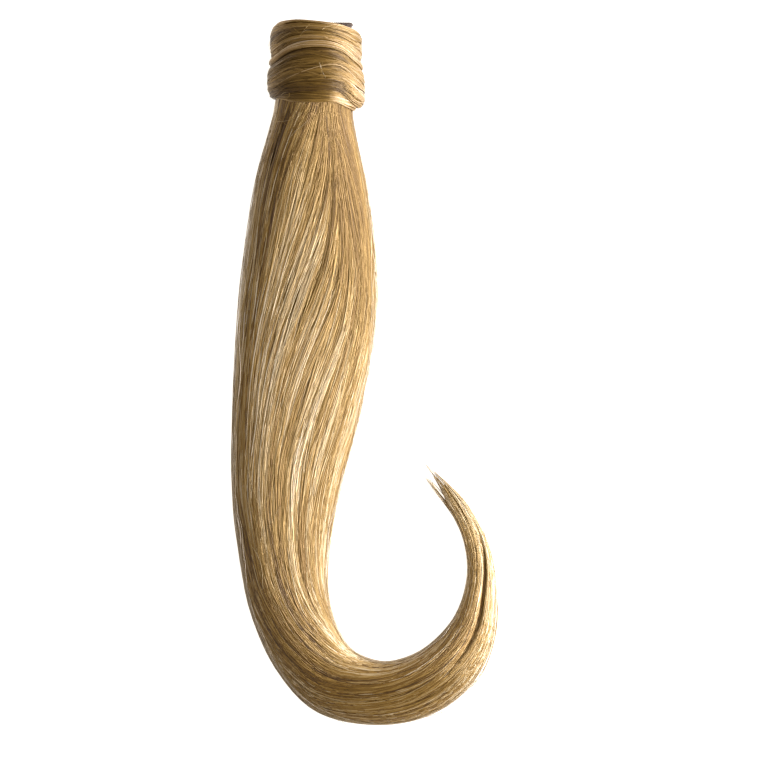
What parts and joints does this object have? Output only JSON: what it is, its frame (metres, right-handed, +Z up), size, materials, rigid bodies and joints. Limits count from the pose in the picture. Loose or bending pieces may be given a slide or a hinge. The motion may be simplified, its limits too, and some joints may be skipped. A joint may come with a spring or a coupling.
{
  "type": "wrap-around ponytail hairpiece",
  "caption": "Long straight blonde false ponytail, lying flat with its end curled to one side; its base is wound with hair over a dark woven band that closes round the wearer's own ponytail.",
  "frame": {"origin": "on the surface the piece lies on, under the middle of its bounding box", "axes": "+Y runs from the hair's curled end towards the mouth at the head, +X is the side the end curls to, +Z is up off the surface"},
  "size_m": [0.1532, 0.4084, 0.0404],
  "materials": {
    "tail_hair": "satin",
    "wrap_hair": "satin",
    "woven_band": "matte",
    "comb_plastic": "satin"
  },
  "bodies": {
    "root": {"tail": "tail_hair", "upper_wrap": "wrap_hair", "cross_strand": "wrap_hair", "main_wrap": "wrap_hair", "lower_band": "wrap_hair", "base_band": "woven_band", "comb": "comb_plastic"}
  },
  "joints": []
}
